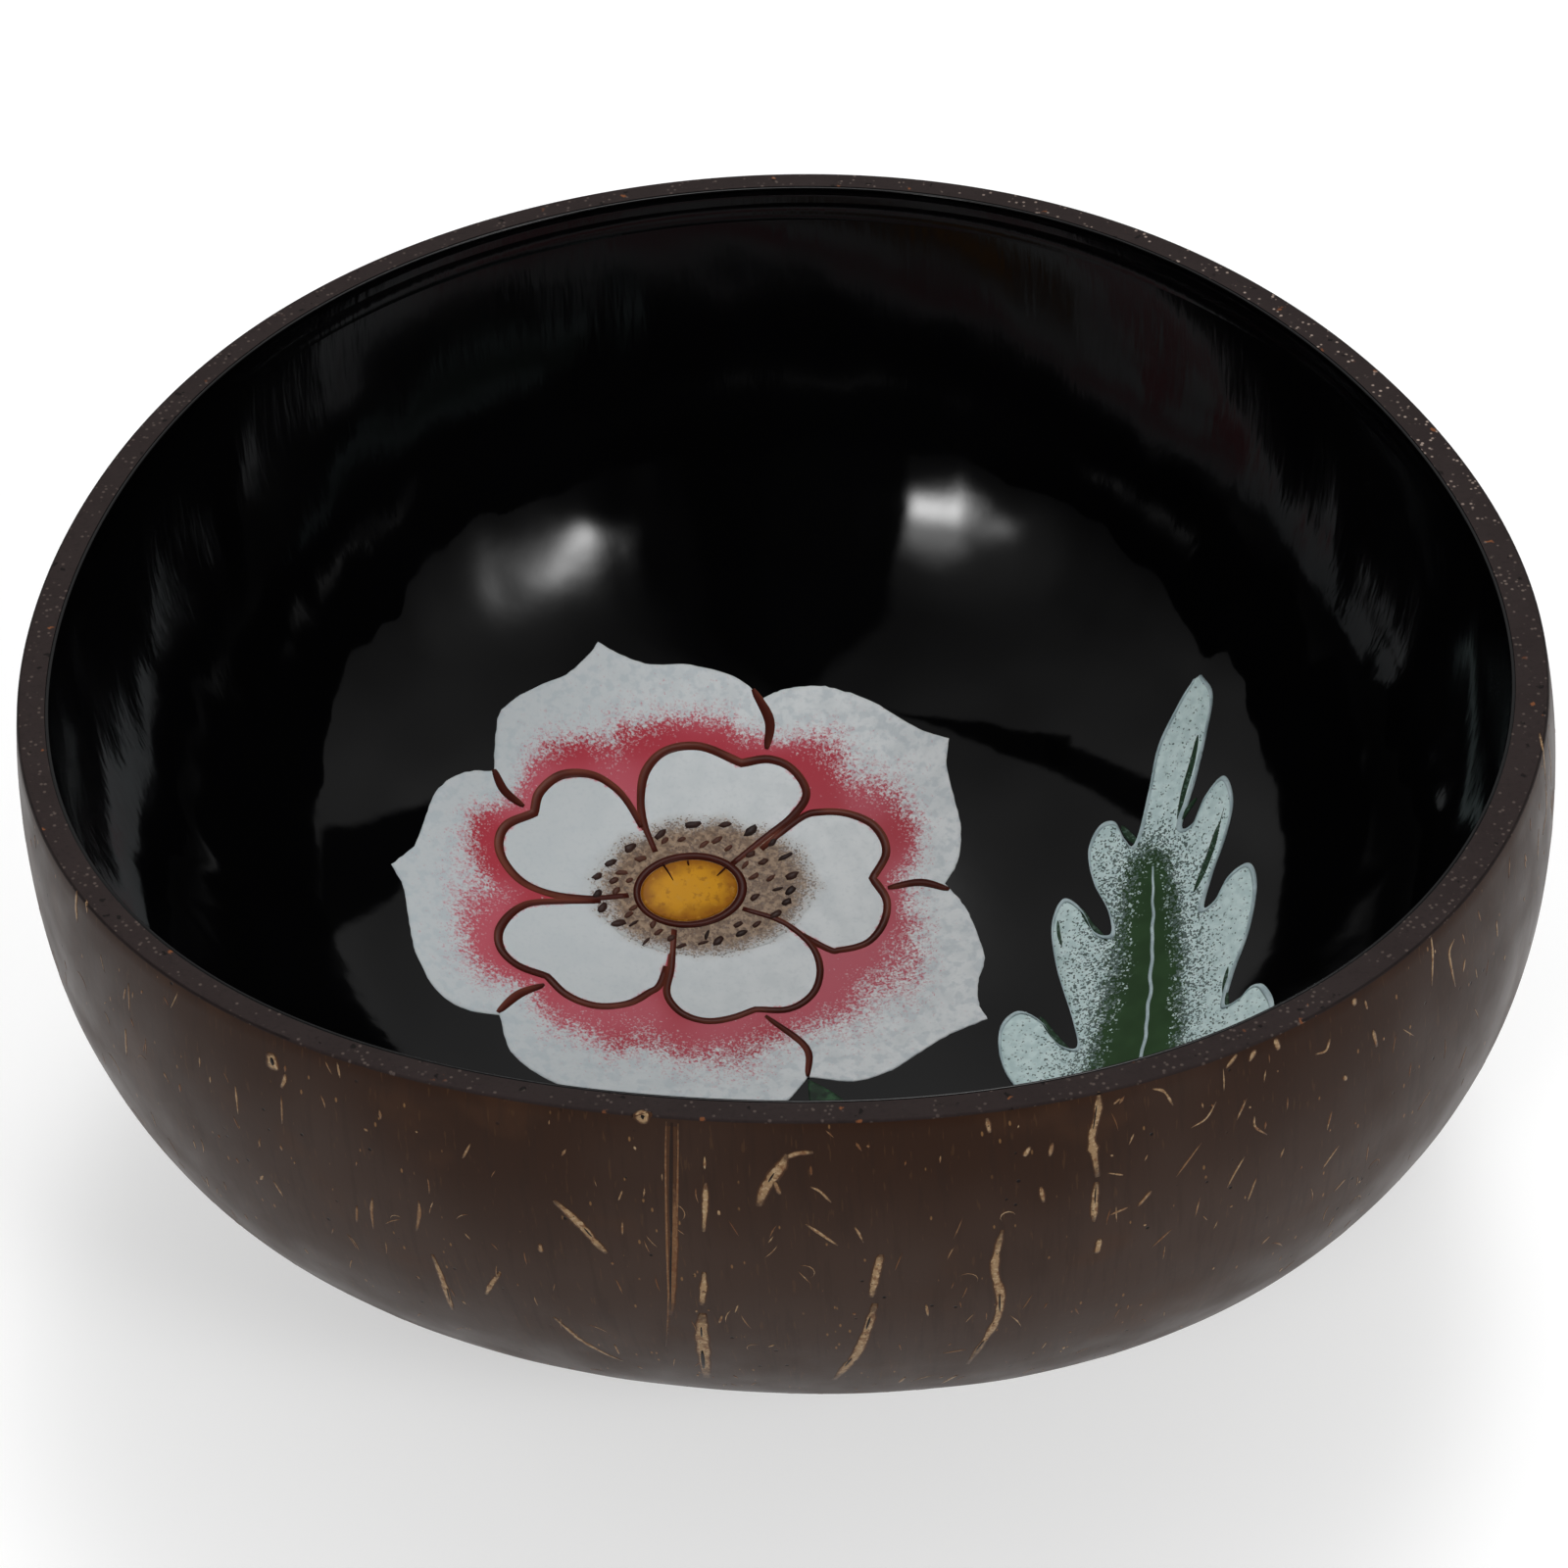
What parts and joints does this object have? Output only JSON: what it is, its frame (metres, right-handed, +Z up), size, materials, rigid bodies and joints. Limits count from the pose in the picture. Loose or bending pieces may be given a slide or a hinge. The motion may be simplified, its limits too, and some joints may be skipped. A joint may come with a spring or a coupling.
{
  "type": "coconut shell bowl",
  "caption": "Half a coconut shell sawn level and sanded flat underneath, lined with black gloss lacquer and painted inside with a flower and a leaf.",
  "frame": {"origin": "middle of the sanded flat underneath, which the bowl stands on", "axes": "+Z up out of the bowl, square to the level rim; -Y is the side nearest the picture's camera, +X its right; the flower lies on the wall towards +Y and -X, the leaf towards +X and +Y"},
  "size_m": [0.136, 0.1355, 0.0605],
  "materials": {
    "shell": "polished coconut shell with pale fibre flecks",
    "lacquer": "thick black gloss lacquer",
    "petal_pink": "crimson pink stippled out to blue-white",
    "petal_white": "white paint under clear lacquer",
    "brush_brown": "brown brush line",
    "disc_tan": "tan stipple",
    "seed_dark": "dark brown dashes",
    "heart_gold": "mottled amber",
    "leaf_green": "deep green stippled out to blue-white",
    "edge_pale": "pale blue-white line",
    "rib_pale": "pale grey-green line",
    "sprig_green": "dark green"
  },
  "bodies": {
    "root": {"coconut_shell": "shell", "lacquer_lining": "lacquer", "outer_petals": "petal_pink", "inner_petals": "petal_white", "petal_outlines": "brush_brown", "stamen_disc": "disc_tan", "stamen_seeds": "seed_dark", "flower_heart": "heart_gold", "heart_ring": "brush_brown", "leaf_blade": "leaf_green", "leaf_edge": "edge_pale", "leaf_midrib": "rib_pale", "small_leaf": "sprig_green"}
  },
  "joints": []
}
